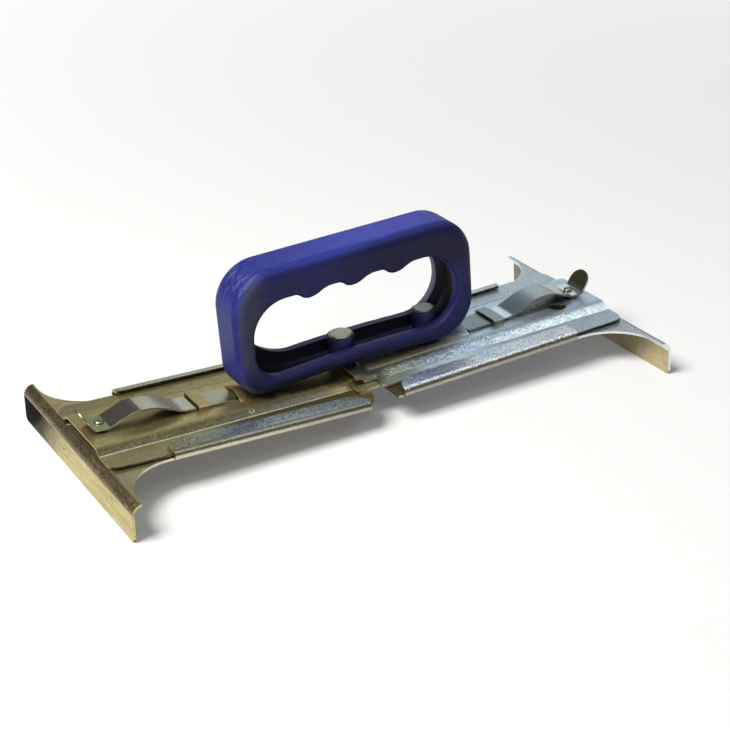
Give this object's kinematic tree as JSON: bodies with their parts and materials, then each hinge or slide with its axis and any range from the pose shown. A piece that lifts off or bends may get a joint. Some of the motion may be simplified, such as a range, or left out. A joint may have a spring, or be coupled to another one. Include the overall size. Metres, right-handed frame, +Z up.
{
  "type": "slab carrying handle",
  "caption": "Adjustable slab carrier: two pressed steel halves hooked at a knee, telescoping jaws with spring latches, and a moulded loop handle with finger bumps.",
  "frame": {"origin": "middle of the base: halfway between the jaws' outer faces and between their ends, level with the jaws' lower edges", "axes": "+X along the tool towards the half that carries the handle, +Y across it, +Z up through the handle"},
  "size_m": [0.3084, 0.1468, 0.0909],
  "materials": {
    "handle": "satin moulded",
    "zinc_grey": "blue-grey zinc plating",
    "zinc_yellow": "worn yellow chromate over zinc",
    "spring_steel": "smooth zinc plating",
    "rivet_steel": "zinc plating"
  },
  "bodies": {
    "right_frame": {"right_plate": "zinc_grey", "handle": "handle", "centre_rivet": "rivet_steel", "outer_rivet": "rivet_steel"},
    "left_frame": {"left_plate": "zinc_yellow"},
    "right_jaw": {"right_jaw_slide": "zinc_grey"},
    "left_jaw": {"left_jaw_slide": "zinc_yellow"},
    "right_latch": {"right_latch_spring": "spring_steel", "right_latch_pin": "rivet_steel"},
    "left_latch": {"left_latch_spring": "spring_steel", "left_latch_pin": "rivet_steel"}
  },
  "joints": [
    {"name": "knee", "type": "hinge", "parent": "right_frame", "child": "left_frame", "pos_m": [-0.00793, 0, 0.01567], "axis": [0, -1, 0], "range_deg": [0, 9]},
    {"name": "right_slide", "type": "slide", "parent": "right_frame", "child": "right_jaw", "axis": [0.9996, 0, 0.0291], "range_m": [0, 0.1]},
    {"name": "left_slide", "type": "slide", "parent": "left_frame", "child": "left_jaw", "axis": [-0.9991, 0, 0.0433], "range_m": [0, 0.1]},
    {"name": "right_latch_lift", "type": "hinge", "parent": "right_frame", "child": "right_latch", "pos_m": [0.06592, 0, 0.02177], "axis": [0, -1, 0], "range_deg": [-0.85, 0.8], "stiffness_Nm_per_rad": 3},
    {"name": "left_latch_lift", "type": "hinge", "parent": "left_frame", "child": "left_latch", "pos_m": [-0.06562, 0, 0.02054], "axis": [0, 1, 0], "range_deg": [-0.85, 0.8], "stiffness_Nm_per_rad": 3}
  ]
}
